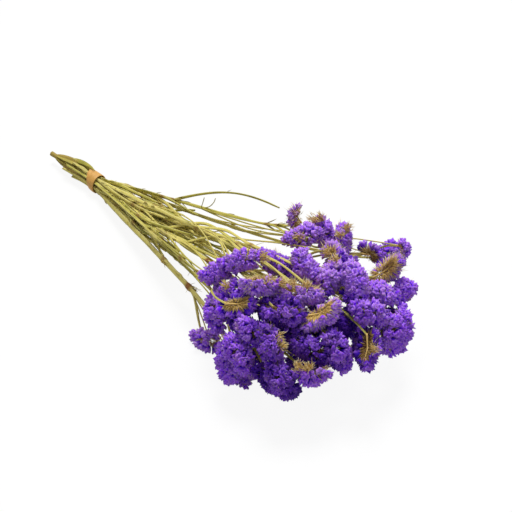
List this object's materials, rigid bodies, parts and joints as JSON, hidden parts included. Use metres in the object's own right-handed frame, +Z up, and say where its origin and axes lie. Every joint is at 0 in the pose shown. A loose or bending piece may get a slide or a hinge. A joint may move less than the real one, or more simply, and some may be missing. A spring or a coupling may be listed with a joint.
{
  "type": "bunch of dried statice",
  "caption": "Bunch of dried violet statice lying on its side, forked olive stems gathered by a rubber band and papery flower spikes at one end.",
  "frame": {"origin": "bottom centre of the whole bunch, on the surface that it lies on", "axes": "+X along the bunch from the cut stem ends to the flowers, +Z up"},
  "size_m": [0.5598, 0.2721, 0.1308],
  "materials": {
    "dried_stem": "matte, ribbed, olive to straw",
    "calyx": "papery, pleated, violet with golden bracts behind",
    "band": "matte natural rubber"
  },
  "bodies": {
    "root": {"rubber_band": "band", "stem_01": "dried_stem", "stem_02": "dried_stem", "stem_03": "dried_stem", "stem_04": "dried_stem", "stem_05": "dried_stem", "stem_06": "dried_stem", "stem_07": "dried_stem", "stem_08": "dried_stem", "stem_09": "dried_stem", "stem_10": "dried_stem", "stem_11": "dried_stem", "stem_12": "dried_stem", "stem_13": "dried_stem", "stem_14": "dried_stem", "stem_15": "dried_stem", "flower_spike_01": "calyx", "flower_spike_02": "calyx", "flower_spike_03": "calyx", "flower_spike_04": "calyx", "flower_spike_05": "calyx", "flower_spike_06": "calyx", "flower_spike_07": "calyx", "flower_spike_08": "calyx", "flower_spike_09": "calyx", "flower_spike_10": "calyx", "flower_spike_11": "calyx", "flower_spike_12": "calyx", "flower_spike_13": "calyx", "flower_spike_14": "calyx", "flower_spike_15": "calyx", "flower_spike_16": "calyx", "flower_spike_17": "calyx", "flower_spike_18": "calyx", "flower_spike_19": "calyx", "flower_spike_20": "calyx", "flower_spike_21": "calyx", "flower_spike_22": "calyx", "flower_spike_23": "calyx", "flower_spike_24": "calyx", "flower_spike_25": "calyx", "flower_spike_26": "calyx", "flower_spike_27": "calyx", "flower_spike_28": "calyx", "flower_spike_29": "calyx", "flower_spike_30": "calyx", "flower_spike_31": "calyx", "flower_spike_32": "calyx", "flower_spike_33": "calyx", "flower_spike_34": "calyx", "flower_spike_35": "calyx", "flower_spike_36": "calyx", "flower_spike_37": "calyx", "flower_spike_38": "calyx", "flower_spike_39": "calyx", "flower_spike_40": "calyx", "flower_spike_41": "calyx", "flower_spike_42": "calyx", "flower_spike_43": "calyx", "flower_spike_44": "calyx"}
  },
  "joints": []
}
